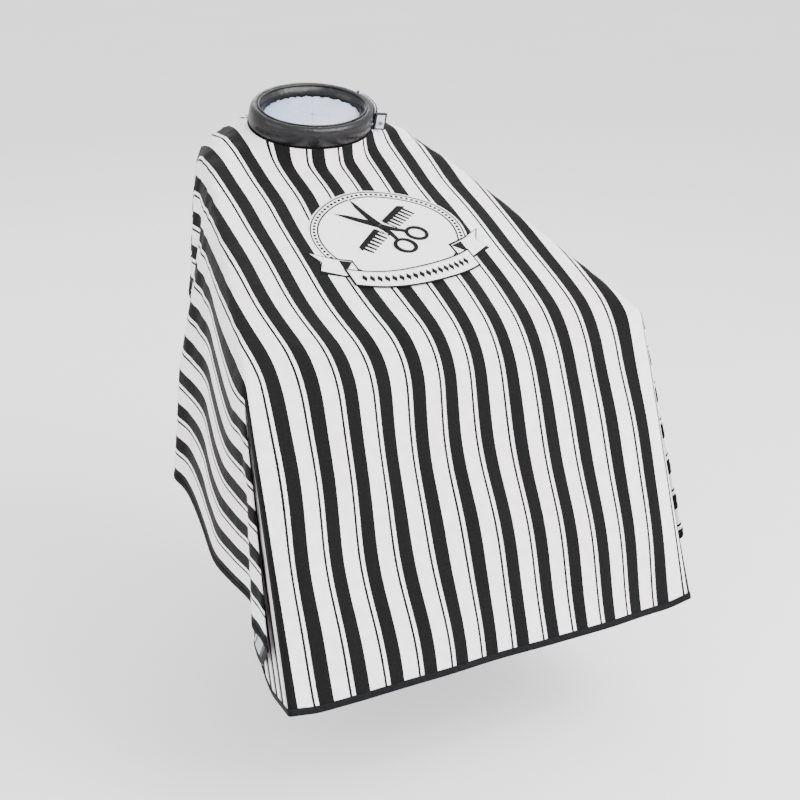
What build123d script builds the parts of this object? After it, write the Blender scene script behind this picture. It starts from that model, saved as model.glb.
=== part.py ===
from build123d import *
import math
import os

# Barber cape, draped as it is worn by a seated client.
# +X is the wearer's left, the front faces -Y and +Z is up. The origin is the centre of
# the neck opening, where the neckband is sewn to the striped panel.

# ---- driving dimensions, in mm ----
CLOTH = 5.0                 # solid thickness that stands in for the draped cloth
HEM = 10.0                  # width of the binding round the edge of the cloth
GAP = 0.5                   # air between pieces that move past each other

BAND_TILT = 20.45           # the neckband leans forward by this angle
BAND_RAISED = 14.0          # the band stands this far up from where the cloth lies flat
BAND_HEIGHT = 38.0
BAND_HALF_WIDTH = 111.0     # outside of the band, across the shoulders
BAND_HALF_DEPTH = 83.0      # outside of the band, front to back
BAND_SKIN = 2.0             # glossy cover over the padding
BAND_PADDING = 9.0
BAND_LINING = 3.0           # soft lining against the neck
BAND_SEAM = 2.0             # thickness of the seam tape under the band
PIPING = 3.6                # round cord in the top edge of the band

SHOULDER_HALF = 197.0       # half widths of the draped shape
KNEE_HALF = 350.0
FRONT_HALF = 380.0
KNEE_RADIUS = 20.0

FLAT_HALF = 84.0            # the cloth lies flat under the band this far fore and aft
SHOULDER_REAR = (120.0, 8.0)        # (y, z) corners of the shape seen from its side
BACK = (188.0, -48.0)
BACK_HEM_Z = -131.0
KNEE = (-496.0, -234.0)
FRONT_HEM = (-652.0, -692.0)
CORNER_TIP = (-440.0, -728.0)
SIDE_HEM = [(-410.0, -590.0), (-40.0, -500.0), (150.0, -530.0)]
FAR = 900.0                 # reaches past the whole cape
FRONT_TAPE_TO, SIDE_TAPE_TO = -640.0, 150.0     # (y) where one binding hands over to the next

SLIT_X = 75.0               # the back opening runs from the neck to the back hem
SLIT_BINDING = 6.0

EMBLEM_LEVEL_Y = -244.0     # middle of the print on the chest
EMBLEM_X = 15.0
EMBLEM_HALF = (132.0, 113.0)
RIBBON = (230.0, 44.0)
RIBBON_DROP = -58.0         # the ribbon crosses the oval this far below its middle
PRINT = 0.5

LAP_FROM, LAP_TO = 19.0, -16.0        # polar angles where the closure lap starts and ends
LAP_SKIN = 1.4
LAP_THICK = 5.0
LAP_LOW, LAP_HIGH = 4.0, 35.0
SNAP_ANGLES = {"rear": 8.0, "front": -5.0}
SNAP_HEIGHT = 19.0
CAP_RADIUS, CAP_THICK = 5.5, 1.2
SOCKET_RADIUS = 4.2
STUD_RADIUS = 2.1

TAB_ANGLE = -19.5           # polar angle where the pull tab leaves the band
TAB_POINTS = -16.0          # the tab stands out along this angle from +X
TAB_STUD_ANGLE = -24.4      # where the folded tab snaps to the front of the band
TAB_LENGTH = 19.0
TAB_LOW, TAB_HIGH = 2.0, 33.0
TAB_THICK = 4.4
TAB_BINDING = 2.5
TAB_ROLL = 2.6              # radius of the rolled edge the tab folds about

# ---- planes and helpers ----
tilt = math.radians(BAND_TILT)
rise = math.tan(tilt)
neck_plane = Plane((0, 0, 0), x_dir=(1, 0, 0), z_dir=(0, -math.sin(tilt), math.cos(tilt)))
neck_axis = Axis(neck_plane.origin, neck_plane.z_dir)
os.makedirs("parts", exist_ok=True)


def neck_level(height):
    """The plane of the band's foot, raised along the band."""
    return neck_plane.offset(BAND_RAISED + height)


def keep(piece, name):
    """Label a finished piece and write it."""
    piece.label = name
    export_step(piece, f"parts/{name}.step")


def band_outside(polar, beyond=0.0):
    """Point on the outside of the band at a polar angle, in the plane of the neck opening."""
    c, s = math.cos(math.radians(polar)), math.sin(math.radians(polar))
    half_width, half_depth = BAND_HALF_WIDTH + beyond, BAND_HALF_DEPTH + beyond
    reach = 1 / math.hypot(c / half_width, s / half_depth)
    return reach * c, reach * s


def band_normal(polar):
    """Angle from +X of the direction square to the band's outside at a polar angle."""
    x, y = band_outside(polar)
    return math.degrees(math.atan2(y / BAND_HALF_DEPTH**2, x / BAND_HALF_WIDTH**2))


def band_plane(polar, beyond, height):
    """Plane square to the band's outside and facing outward, this far beyond it."""
    x, y = band_outside(polar)
    facing = math.radians(band_normal(polar))
    foot = neck_plane.from_local_coords((x, y, BAND_RAISED + height))
    out = neck_plane.from_local_coords((math.cos(facing), math.sin(facing), 0))
    return Plane(foot + out * beyond, x_dir=neck_plane.z_dir, z_dir=out)


def band_ring(inset, wall, low, high):
    """Oval ring whose outside lies inside the band's outside by inset."""
    with BuildPart() as ring:
        with BuildSketch(neck_level(low)):
            Ellipse(BAND_HALF_WIDTH - inset, BAND_HALF_DEPTH - inset)
            Ellipse(BAND_HALF_WIDTH - inset - wall, BAND_HALF_DEPTH - inset - wall, mode=Mode.SUBTRACT)
        extrude(amount=high - low)
    return ring.part


# ---- the striped panel ----
def draped_form(inset, outline_below):
    """Solid of the draped shape, or of the space under it, inset from the outside."""
    top = [
        (BACK[0] - inset, BACK[1] - inset),
        (SHOULDER_REAR[0] - inset / 2, SHOULDER_REAR[1] - inset),
        (FLAT_HALF, FLAT_HALF * rise - inset),
        (-FLAT_HALF, -FLAT_HALF * rise - inset),
        (KNEE[0] + inset, KNEE[1] - inset),
    ]
    half = [
        (SHOULDER_HALF - 5 - inset, BACK[0] + 60),
        (SHOULDER_HALF - inset, 12),
        (KNEE_HALF - inset, KNEE[0]),
        (FRONT_HALF - inset, FRONT_HEM[0] - 40),
    ]
    with BuildPart() as form:
        with BuildSketch(Plane.YZ):
            with BuildLine():
                Polyline(*top, *outline_below, close=True)
            make_face()
        extrude(amount=FRONT_HALF + 40, both=True)
        with BuildSketch(Plane.XY.offset(-FAR)):
            with BuildLine():
                Polyline(*half, *[(-x, y) for x, y in reversed(half)], close=True)
            make_face()
        extrude(amount=FAR + 200, mode=Mode.INTERSECT)
        knee = form.edges().filter_by(Axis.X).sort_by(lambda e: abs(e.center().Y - top[-1][0]))[0]
        fillet(knee, KNEE_RADIUS - inset)
    return form.part


hem_line = [FRONT_HEM, CORNER_TIP, *SIDE_HEM, (BACK[0], BACK_HEM_Z)]
outside = draped_form(0, hem_line)
inside = draped_form(CLOTH, [
    (FRONT_HEM[0] + CLOTH - 36, FRONT_HEM[1] - 105), (BACK[0] + 40, FRONT_HEM[1] - 105),
    (BACK[0] + 40, BACK_HEM_Z - 0.01), (BACK[0] - CLOTH, BACK_HEM_Z - 0.01)])

with BuildPart() as draped_sheet:
    add(outside)
    add(inside, mode=Mode.SUBTRACT)
    with BuildSketch(neck_level(-60)):
        Ellipse(BAND_HALF_WIDTH - 14, BAND_HALF_DEPTH - 14)
    extrude(amount=120, mode=Mode.SUBTRACT)

# the strip along every edge of the cloth that the binding folds over
with BuildPart() as hem_strip:
    with BuildSketch(Plane.YZ):
        with BuildLine():
            Polyline(*hem_line, (FAR, BACK_HEM_Z), (FAR, -FAR), (-FAR, -FAR), (-FAR, FRONT_HEM[1]),
                     close=True)
        make_face()
        offset(amount=HEM, kind=Kind.INTERSECTION)
    extrude(amount=FRONT_HALF + 60, both=True)

# the strip along both edges of the back opening
with BuildPart() as slit_strip:
    with Locations((SLIT_X, 60 + FAR / 2, 0)):
        Box(2 * SLIT_BINDING, FAR, FAR)

with BuildPart() as striped_panel:
    add(draped_sheet.part)
    add(hem_strip.part, mode=Mode.SUBTRACT)
    add(slit_strip.part, mode=Mode.SUBTRACT)
keep(striped_panel.part, "striped_panel")


# ---- bindings round the edge ----
def binding(name, strip, centre, size, trim=None):
    """The part of the cloth's edge strip inside a box, kept as its own piece."""
    with BuildPart() as piece:
        add(draped_sheet.part)
        add(strip, mode=Mode.INTERSECT)
        if trim:
            add(trim, mode=Mode.SUBTRACT)
        with Locations(centre):
            Box(*size, mode=Mode.INTERSECT)
    keep(piece.part, name)


binding("front_hem_binding", hem_strip.part, (0, FRONT_TAPE_TO - FAR / 2, 0), (2 * FAR, FAR, 2 * FAR))
side_depth = SIDE_TAPE_TO - FRONT_TAPE_TO
for side, name in ((-1, "right_side_hem_binding"), (1, "left_side_hem_binding")):
    binding(name, hem_strip.part, (side * FAR / 2, SIDE_TAPE_TO - side_depth / 2, 0), (FAR, side_depth, 2 * FAR))
rear = SIDE_TAPE_TO + FAR / 2
slit_edge = {-1: SLIT_X - 0.2, 1: SLIT_X + 0.2}
for side, name in ((-1, "back_hem_binding_right"), (1, "back_hem_binding_left")):
    binding(name, hem_strip.part, (slit_edge[side] + side * FAR, rear, 0), (2 * FAR, FAR, 2 * FAR))
for side, name in ((-1, "back_opening_binding_right"), (1, "back_opening_binding_left")):
    binding(name, slit_strip.part, (slit_edge[side] + side * FAR, FAR / 2, 0), (2 * FAR, 2 * FAR, 2 * FAR),
            hem_strip.part)

# ---- printed emblem on the chest ----
slope = math.atan2(-FLAT_HALF * rise - KNEE[1], -FLAT_HALF - KNEE[0])
emblem_z = -FLAT_HALF * rise + (EMBLEM_LEVEL_Y + FLAT_HALF) * math.tan(slope)
chest = Plane((EMBLEM_X, EMBLEM_LEVEL_Y, emblem_z), x_dir=(1, 0, 0),
              z_dir=(0, -math.sin(slope), math.cos(slope)))

with BuildPart() as emblem_oval:
    with BuildSketch(chest):
        Ellipse(*EMBLEM_HALF)
    extrude(amount=PRINT)
keep(emblem_oval.part, "emblem_oval_print")

with BuildPart() as emblem_ribbon:
    with BuildSketch(chest.offset(PRINT)):
        with Locations((0, RIBBON_DROP)):
            RectangleRounded(*RIBBON, 8)
    extrude(amount=PRINT)
keep(emblem_ribbon.part, "emblem_ribbon_print")

# ---- neckband ----
cover_top = BAND_HEIGHT - 3
with BuildPart() as neckband_cover:
    add(band_ring(0, BAND_SKIN, BAND_SEAM, BAND_HEIGHT))
    add(band_ring(BAND_SKIN, BAND_PADDING - PIPING, cover_top, BAND_HEIGHT))
    outer_rim = neckband_cover.edges().group_by(neck_axis)[-1].sort_by(SortBy.LENGTH)[-1]
    fillet(outer_rim, 1.6)
keep(neckband_cover.part, "neckband_cover")
keep(band_ring(BAND_SKIN, BAND_PADDING, BAND_SEAM, cover_top - GAP), "neckband_padding")
keep(band_ring(BAND_SKIN + BAND_PADDING, BAND_LINING, BAND_SEAM, cover_top - GAP), "neckband_lining")
with BuildPart() as neckband_piping:
    add(band_ring(BAND_SKIN + BAND_PADDING - PIPING + 0.2, PIPING, cover_top - 0.3, cover_top - 0.3 + PIPING))
    fillet(neckband_piping.edges(), PIPING * 0.4)
keep(neckband_piping.part, "neckband_top_piping")
with BuildPart() as neck_seam_tape:
    add(band_ring(0, 14, 0, BAND_SEAM))
    add(band_ring(1, BAND_SEAM, -BAND_RAISED, BAND_SEAM))
    add(band_ring(1, 12, -BAND_RAISED, BAND_SEAM - BAND_RAISED))
keep(neck_seam_tape.part, "neck_seam_tape")


# ---- closure lap, which snaps onto the outside of the band ----
def wedge(start, end):
    """Sector of the plane between two polar angles, long enough to pass the band."""
    with BuildSketch() as sector:
        with BuildLine():
            Polyline((0, 0), *[(2 * BAND_HALF_WIDTH * math.cos(math.radians(a)),
                                2 * BAND_HALF_WIDTH * math.sin(math.radians(a)))
                               for a in (start, (start + end) / 2, end)], close=True)
        make_face()
    return sector.sketch


def lap_layer(name, first, last, low, high, start=LAP_FROM - 3.2, end=LAP_TO, holes=0.0):
    """One layer of the lap, between two distances from the band's outside."""
    with BuildPart() as layer:
        with BuildSketch(neck_level(low)):
            Ellipse(BAND_HALF_WIDTH + last, BAND_HALF_DEPTH + last)
            Ellipse(BAND_HALF_WIDTH + first, BAND_HALF_DEPTH + first, mode=Mode.SUBTRACT)
            add(wedge(end, start), mode=Mode.INTERSECT)
        extrude(amount=high - low)
        if holes:
            for angle in SNAP_ANGLES.values():
                with BuildSketch(band_plane(angle, -5, SNAP_HEIGHT)):
                    Circle(holes)
                extrude(amount=20, mode=Mode.SUBTRACT)
    keep(layer.part, name)


lap_inside = 0.6
lap_outside = lap_inside + LAP_THICK
lap_layer("lap_lining", lap_inside, lap_inside + LAP_SKIN, LAP_LOW, LAP_HIGH, holes=SOCKET_RADIUS)
lap_layer("lap_padding", lap_inside + LAP_SKIN, lap_outside - LAP_SKIN, LAP_LOW, LAP_HIGH, holes=SOCKET_RADIUS)
lap_layer("lap_cover", lap_outside - LAP_SKIN, lap_outside, LAP_LOW, LAP_HIGH)

# the rolled edge of the band that the lap folds about
hinge_beyond = (lap_inside + lap_outside) / 2
fold_x, fold_y = band_outside(LAP_FROM, hinge_beyond)
with BuildPart() as lap_fold_roll:
    with BuildSketch(neck_level(LAP_LOW)):
        with Locations((fold_x, fold_y)):
            Circle(LAP_THICK / 2)
    extrude(amount=LAP_HIGH - LAP_LOW)
keep(lap_fold_roll.part, "lap_fold_roll")


# ---- snap fasteners ----
def disc(name, plane, radius, thick, bore=0.0, edge=0.0):
    """Round snap piece standing on a plane, with an optional bore and softened edge."""
    with BuildPart() as piece:
        with BuildSketch(plane):
            Circle(radius)
            if bore:
                Circle(bore, mode=Mode.SUBTRACT)
        extrude(amount=thick)
        if edge:
            rim = piece.edges().group_by(Axis(plane.origin, plane.z_dir))[-1].sort_by(SortBy.LENGTH)[-1]
            fillet(rim, edge)
    keep(piece.part, name)


stud_height = 1.6
for place, angle in SNAP_ANGLES.items():
    disc(f"lap_snap_cap_{place}", band_plane(angle, lap_outside + 0.1, SNAP_HEIGHT), CAP_RADIUS, CAP_THICK, edge=0.5)
    disc(f"lap_snap_socket_{place}", band_plane(angle, lap_inside + 0.3, SNAP_HEIGHT), SOCKET_RADIUS - 0.1,
         LAP_THICK - LAP_SKIN - 0.9, bore=STUD_RADIUS + 0.6)
    disc(f"band_snap_stud_{place}", band_plane(angle, 0, SNAP_HEIGHT), STUD_RADIUS, stud_height, edge=0.5)

disc("band_tab_stud", band_plane(TAB_STUD_ANGLE, 0, SNAP_HEIGHT - 3), STUD_RADIUS, stud_height, edge=0.5)

# ---- pull tab at the end of the lap ----
tab_x, tab_y = band_outside(TAB_ANGLE, hinge_beyond)
tab_points = math.radians(TAB_POINTS)
tab_along = Vector(math.cos(tab_points), math.sin(tab_points), 0)
tab_corner = neck_plane.from_local_coords((tab_x, tab_y, BAND_RAISED))


def tab_layer(name, first, last, inset=0.0, hole=0.0, rim=0.0):
    """Flat layer of the tab, between two distances across its thickness."""
    length, height = TAB_LENGTH - TAB_ROLL, TAB_HIGH - TAB_LOW
    out = neck_plane.from_local_coords(tab_along)
    across = out.cross(neck_plane.z_dir)
    plane = Plane(tab_corner + out * TAB_ROLL + across * first, x_dir=out, z_dir=across)
    up = 1 if plane.y_dir.dot(neck_plane.z_dir) > 0 else -1
    with BuildPart() as layer:
        with BuildSketch(plane):
            with Locations(((length - inset) / 2, up * (TAB_LOW + TAB_HIGH) / 2)):
                Rectangle(length - inset, height - 2 * inset)
            if rim:
                with Locations(((length - rim) / 2, up * (TAB_LOW + TAB_HIGH) / 2)):
                    Rectangle(length - rim, height - 2 * rim, mode=Mode.SUBTRACT)
            if hole:
                with Locations((length * 0.42, up * (TAB_LOW + height * 0.4))):
                    Circle(hole, mode=Mode.SUBTRACT)
        extrude(amount=last - first)
    keep(layer.part, name)
    return plane, up, length, height


half_tab = TAB_THICK / 2
tab_layer("tab_binding", -half_tab, half_tab, rim=TAB_BINDING)
tab_layer("tab_cover", -half_tab + 0.2, 0, inset=TAB_BINDING, hole=SOCKET_RADIUS)
plane, up, length, height = tab_layer("tab_lining", 0, half_tab - 0.4, inset=TAB_BINDING, hole=SOCKET_RADIUS)
snap_at = plane.from_local_coords((length * 0.42, up * (TAB_LOW + height * 0.4), 0))
front = plane.z_dir
disc("tab_snap_socket", Plane(snap_at - front * (half_tab - 0.2), z_dir=front), SOCKET_RADIUS - 0.1, TAB_THICK - 1.0,
     bore=STUD_RADIUS + 0.6)
disc("tab_snap_ring", Plane(snap_at + front * (half_tab - 0.4), z_dir=front), CAP_RADIUS - 0.4, 0.9,
     bore=STUD_RADIUS + 0.6, edge=0.3)
disc("tab_snap_cap", Plane(snap_at - front * (half_tab - 0.2), z_dir=-front), CAP_RADIUS, CAP_THICK, edge=0.5)
with BuildPart() as tab_fold_roll:
    with BuildSketch(neck_level(TAB_LOW)):
        with Locations((tab_x, tab_y)):
            Circle(TAB_ROLL)
    extrude(amount=TAB_HIGH - TAB_LOW)
keep(tab_fold_roll.part, "tab_fold_roll")
hinge = neck_plane.from_local_coords
print("lap hinge, m:", [round(v / 1000, 6) for v in hinge((fold_x, fold_y, BAND_RAISED + SNAP_HEIGHT))])
print("tab hinge, m:", [round(v / 1000, 6) for v in hinge((tab_x, tab_y, BAND_RAISED + SNAP_HEIGHT))])
print("neck axis:", [round(v, 6) for v in neck_plane.z_dir])
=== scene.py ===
# Barber cape, worn by a seated client: a striped sheet with a padded, snapped neckband.
# The frame holds the neckband, its closure lap and pull tab, and the outline of the drape.
# +X is the wearer's left, the front faces -Y, and the origin is the middle of the neck opening.
import math

import bmesh
import bpy
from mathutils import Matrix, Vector, noise
from mathutils.bvhtree import BVHTree
from mathutils.interpolate import poly_3d_calc


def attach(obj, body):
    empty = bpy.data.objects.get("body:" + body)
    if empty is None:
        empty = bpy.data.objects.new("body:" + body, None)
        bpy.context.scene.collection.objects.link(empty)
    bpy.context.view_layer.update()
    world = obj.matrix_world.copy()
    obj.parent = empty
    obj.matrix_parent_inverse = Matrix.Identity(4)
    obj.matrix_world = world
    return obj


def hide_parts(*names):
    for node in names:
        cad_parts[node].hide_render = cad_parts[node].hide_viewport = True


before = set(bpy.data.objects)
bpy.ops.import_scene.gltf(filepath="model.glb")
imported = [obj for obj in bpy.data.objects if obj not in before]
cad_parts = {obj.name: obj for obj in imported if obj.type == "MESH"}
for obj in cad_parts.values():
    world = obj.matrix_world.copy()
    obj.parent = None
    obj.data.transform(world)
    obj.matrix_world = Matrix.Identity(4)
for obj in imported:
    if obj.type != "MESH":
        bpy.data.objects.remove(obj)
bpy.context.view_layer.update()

# ---- The room ----
# A plain pale floor under the seated client, two soft lights before them and one behind, and a
# camera that looks down on the lap from beyond the client's right knee.
FLOOR_LEVEL = -0.914
LOOK_AT = Vector((0.018, -0.2873, -0.398))
CAMERA_AROUND, CAMERA_ABOVE = math.radians(-29.05), math.radians(20.91)
CAMERA_AWAY = 2.479
CAMERA_LENS = 67.5
FILM_WIDE = 36
FLOOR_REACH = 14.0


def node_material(name, roughness, **sockets):
    """A new material: its node tree, its shader and the links' maker."""
    material = bpy.data.materials.new(name)
    material.use_nodes = True
    shader = material.node_tree.nodes["Principled BSDF"]
    shader.inputs["Roughness"].default_value = roughness
    for socket, value in sockets.items():
        shader.inputs[socket.replace("_", " ")].default_value = value
    return material, material.node_tree.nodes, material.node_tree.links, shader


def speckle(nodes, links, scale, low, high, socket, detail=3.0, vector=None):
    """Noise that runs from one value or colour to another, and feeds a socket if one is given."""
    cloud = nodes.new("ShaderNodeTexNoise")
    cloud.inputs["Scale"].default_value = scale
    cloud.inputs["Detail"].default_value = detail
    if vector:
        links.new(vector, cloud.inputs["Vector"])
    else:
        place = nodes.new("ShaderNodeTexCoord")
        links.new(place.outputs["Object"], cloud.inputs["Vector"])
    ramp = nodes.new("ShaderNodeValToRGB")
    ramp.color_ramp.elements[0].position = 0.35
    ramp.color_ramp.elements[1].position = 0.65
    for element, value in zip(ramp.color_ramp.elements, (low, high)):
        element.color = value if hasattr(value, "__len__") else (value, value, value, 1)
    links.new(cloud.outputs["Fac"], ramp.inputs["Fac"])
    if socket:
        links.new(ramp.outputs["Color"], socket)
    return ramp.outputs["Color"]


def relief(nodes, links, shader, height, depth, strength=1.0, under=None):
    """Raise the surface by a height pattern, over an earlier relief if there is one."""
    bump = nodes.new("ShaderNodeBump")
    bump.inputs["Distance"].default_value = depth
    bump.inputs["Strength"].default_value = strength
    links.new(height, bump.inputs["Height"])
    if under:
        links.new(under.outputs["Normal"], bump.inputs["Normal"])
    links.new(bump.outputs["Normal"], shader.inputs["Normal"])
    return bump


def add_piece(name, points, faces, materials):
    """A smooth mesh object from points and faces."""
    mesh = bpy.data.meshes.new(name)
    mesh.from_pydata([tuple(p) for p in points], [], faces)
    mesh.validate()
    for material in materials:
        mesh.materials.append(material)
    for face in mesh.polygons:
        face.use_smooth = True
    piece = bpy.data.objects.new(name, mesh)
    bpy.context.scene.collection.objects.link(piece)
    return piece


def floor_finish():
    material, nodes, links, shader = node_material("pale floor", 0.7)
    speckle(nodes, links, 1.5, (0.93, 0.93, 0.935, 1), (0.95, 0.95, 0.955, 1),
            shader.inputs["Base Color"])
    return material


floor_corners = [(x * FLOOR_REACH, y * FLOOR_REACH, FLOOR_LEVEL)
                 for x, y in ((-1, -1), (1, -1), (1, 1), (-1, 1))]
floor = add_piece("floor", floor_corners, [(0, 1, 2, 3)], [floor_finish()])


def soft_light(name, place, size, power):
    """A square white soft box that faces the cape."""
    lamp = bpy.data.lights.new(name, "AREA")
    lamp.size = size
    lamp.energy = power
    light = bpy.data.objects.new(name, lamp)
    light.location = place
    light.rotation_euler = (Vector(place) - LOOK_AT).to_track_quat("Z", "Y").to_euler()
    bpy.context.scene.collection.objects.link(light)


soft_light("key light", (1.4, -2.6, 1.7), 2.4, 200)
soft_light("fill light", (-2.8, -1.6, 1.0), 2.2, 34)
soft_light("back light", (0.6, 2.6, 2.0), 2.0, 45)
world = bpy.data.worlds.new("pale room")
world.use_nodes = True
world.node_tree.nodes["Background"].inputs["Color"].default_value = (1, 1, 1, 1)
world.node_tree.nodes["Background"].inputs["Strength"].default_value = 1.8
bpy.context.scene.world = world

toward_camera = Vector((math.sin(CAMERA_AROUND) * math.cos(CAMERA_ABOVE),
                        -math.cos(CAMERA_AROUND) * math.cos(CAMERA_ABOVE), math.sin(CAMERA_ABOVE)))
lens = bpy.data.cameras.new("camera")
lens.lens = CAMERA_LENS
lens.sensor_width = FILM_WIDE
camera = bpy.data.objects.new("camera", lens)
camera.location = LOOK_AT + toward_camera * CAMERA_AWAY
camera.rotation_euler = (-toward_camera).to_track_quat("-Z", "Y").to_euler()
bpy.context.scene.collection.objects.link(camera)
bpy.context.scene.camera = camera

# ---- The striped panel ----
# One sheet of light cotton blend, woven with wide and hairline black stripes on white. It has an
# oval neck hole and a slit from there to the back edge, and lies over the client's shoulders,
# knees and elbows, folded into a pleat behind each knee and creased again outside it.
PANEL_HALF_WIDTH = 0.70
PANEL_FRONT = 1.025         # from the middle of the neck hole to the front hem
PANEL_BACK = 0.2625         # from there to the back edge
CORNER_ROUND = 0.20
PANEL_THICK = 0.0012
THREAD_GRID = 0.0125
NECK_HOLE = (0.112, 0.084)
NECK_TILT = math.radians(20.45)
SEAM_UP = 0.016             # the neck edge is sewn this far up the outside of the neckband
BACK_SLIT = 0.075
SHOULDER_HALF = 0.197       # where the arranged cape turns down over the client
KNEE_DOWN = 0.549           # along the cloth, from the neck to the knees
KNEE = Vector((0.347, -0.4963, -0.234))
FRONT_CORNER = Vector((0.362, -0.6523, -0.692))
FRONT_FLARE = 0.015 / 0.484
SHOULDER_FLARE = 0.15 / KNEE_DOWN
KNEE_ROUND = 0.06
KNEE_BEND_LENGTH = 1.882    # the bend over the knees, in roundings
# the pleat's fold and the side crease leave each knee this way, keyed by side: -1 the client's right
PLEAT_FOLDS = {-1: Vector((-0.11, 0.25, -0.96)), 1: Vector((-0.02, 0.26, -0.96))}
SIDE_CREASES = {-1: Vector((0.045, -0.24, -0.97)), 1: Vector((0.14, -0.20, -0.967))}
down_front = Vector((0, FRONT_CORNER.y - KNEE.y, FRONT_CORNER.z - KNEE.z)).normalized()
up_chest = Vector((0, -KNEE.y, -KNEE.z)).normalized()
chest_out = Vector((0, -up_chest.z, up_chest.y))
front_out = Vector((0, down_front.z, -down_front.y))


def turn(start, toward, angle):
    """The direction start, turned by an angle toward another direction."""
    across = (toward - start * toward.dot(start)).normalized()
    return start * math.cos(angle) + across * math.sin(angle)


front_edge = (FRONT_CORNER - KNEE).normalized()
shoulder_line = (Vector((SHOULDER_HALF, 0, 0)) - KNEE).normalized()
flare_angle = math.atan(FRONT_FLARE)
whole_angle = math.pi + math.atan(SHOULDER_FLARE) - flare_angle


def crease_fan(pleat_fold, side_crease):
    """The creases that leave one knee, as directions, with the flat cloth's own angle at each."""
    pleat_takes = front_edge.angle(pleat_fold) + pleat_fold.angle(side_crease)
    flat_swell, full_swell = 0.0, 3.0
    for _ in range(40):
        swell_out = (flat_swell + full_swell) / 2
        side_swell = (side_crease.normalized() + shoulder_line + Vector((swell_out, 0, 0))).normalized()
        used = pleat_takes + side_crease.angle(side_swell) + side_swell.angle(shoulder_line)
        flat_swell, full_swell = (swell_out, full_swell) if used < whole_angle else (flat_swell, swell_out)
    fan = [(0.0, front_edge)]
    for crease in (pleat_fold.normalized(), side_crease.normalized(), side_swell, shoulder_line):
        fan.append((fan[-1][0] + fan[-1][1].angle(crease), crease))
    return fan


creases = {side: crease_fan(PLEAT_FOLDS[side], SIDE_CREASES[side]) for side in (-1, 1)}


def knee_ray(side, angle):
    """Where the cloth at this angle round the knee goes, from the front edge round to the shoulder."""
    fan = creases[side]
    for (low, start), (high, end) in zip(fan, fan[1:]):
        if angle <= high or end is shoulder_line:
            return turn(start, end, angle - low)


def smooth_step(value):
    value = max(0.0, min(1.0, value))
    return value * value * (3 - 2 * value)


def wave(turns):
    return math.sin(2 * math.pi * turns)


def facing_edge(down):
    """Half the width of the part that faces up or forward, this far down the cloth."""
    if down < KNEE_DOWN:
        return SHOULDER_HALF + SHOULDER_FLARE * down
    return KNEE.x + FRONT_FLARE * (down - KNEE_DOWN)


def knee_angle(u, v):
    """The angle of a flat point round the knee, from straight down the front."""
    angle = math.atan2(abs(u) - KNEE.x, -v - KNEE_DOWN)
    return angle + 2 * math.pi if angle < -math.pi / 2 else angle


def round_the_knee(place, down):
    """The place moved from the sharp corner at the knees onto a bend of the same length."""
    starts, length = KNEE_DOWN - KNEE_ROUND, KNEE_BEND_LENGTH * KNEE_ROUND
    bend = max(0.0, min(1.0, (down - starts) / length))
    if bend == 0:
        return place.copy(), bend
    knee = Vector((0, KNEE.y, KNEE.z))
    rounded = (knee + up_chest * KNEE_ROUND) * (1 - bend) ** 2 + knee * 2 * bend * (1 - bend)
    rounded += (knee + down_front * KNEE_ROUND) * bend ** 2
    if bend == 1:
        rounded += down_front * (down - starts - length)
    rounded.x = place.x
    return rounded, bend


def arranged(u, v):
    """Where the hands lay the point (u, v) of the flat sheet over the client."""
    across, down, side = abs(u), -v, (1 if u >= 0 else -1)
    edge = facing_edge(max(down, 0))
    if across > edge:
        reach = math.hypot(across - KNEE.x, down - KNEE_DOWN)
        place = KNEE + knee_ray(side, max(0, knee_angle(u, v) - flare_angle)) * reach
    elif down <= KNEE_DOWN:
        place = Vector((across, 0, 0)) - up_chest * down
    else:
        place = Vector((across, KNEE.y, KNEE.z)) + down_front * (down - KNEE_DOWN)
    inside = smooth_step((edge - across) / 0.05)
    if inside > 0 and down > 0:
        rounded, bend = round_the_knee(place, down)
        place = place.lerp(rounded, inside)
        eased = inside * smooth_step((down - 0.09) / 0.12)
        ease = 0.0042 * wave(down / 0.44 + u / 0.95 + 0.12) + 0.0014 * wave(down / 0.21 - u / 0.6 + 0.4)
        ease += 0.0024 * noise.noise((u * 5, down * 4, 3.7))
        swell = 0.0035 * wave(u / 0.33 + down / 0.9 + 0.2) * wave(down / 0.7 + 0.15)
        swell += 0.0035 * noise.noise((u * 7, down * 5, 1.3)) + 0.001 * wave(u / 0.15 - down / 0.6 + 0.6)
        outward = chest_out.lerp(front_out, bend).normalized()
        place += (Vector((side * ease, 0, 0)) + outward * swell) * eased
    return Vector((place.x * side, place.y, place.z))


def held_firm(u, v):
    """How firmly the arranged place is kept while the cloth settles, from 0 to 1."""
    across, down = abs(u), -v
    if down < 0.02:
        return 0.0
    room = facing_edge(down) - across
    if down <= KNEE_DOWN:
        return min(1, (down - 0.02) / 0.1) * max(0, min(1, (room + 0.01) / 0.05))
    if room > -0.012:
        return 1.0
    share = knee_angle(u, v) / (creases[1 if u >= 0 else -1][2][0] + flare_angle)
    if share < 0.84:
        return 0.6
    return 0.9 * max(0.0, min(1.0, (1.1 - share) / 0.08))


def nearest_on_oval(point, half_width, half_depth):
    """The point of an oval round the origin that is nearest to a point."""
    angle = math.atan2(point[1] / half_depth, point[0] / half_width)
    for _ in range(8):
        x, y = half_width * math.cos(angle), half_depth * math.sin(angle)
        dx, dy = -half_width * math.sin(angle), half_depth * math.cos(angle)
        slope = (x - point[0]) * dx + (y - point[1]) * dy
        angle -= slope / max(dx * dx + dy * dy - (x - point[0]) * x - (y - point[1]) * y, 1e-6)
    return half_width * math.cos(angle), half_depth * math.sin(angle)


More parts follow.
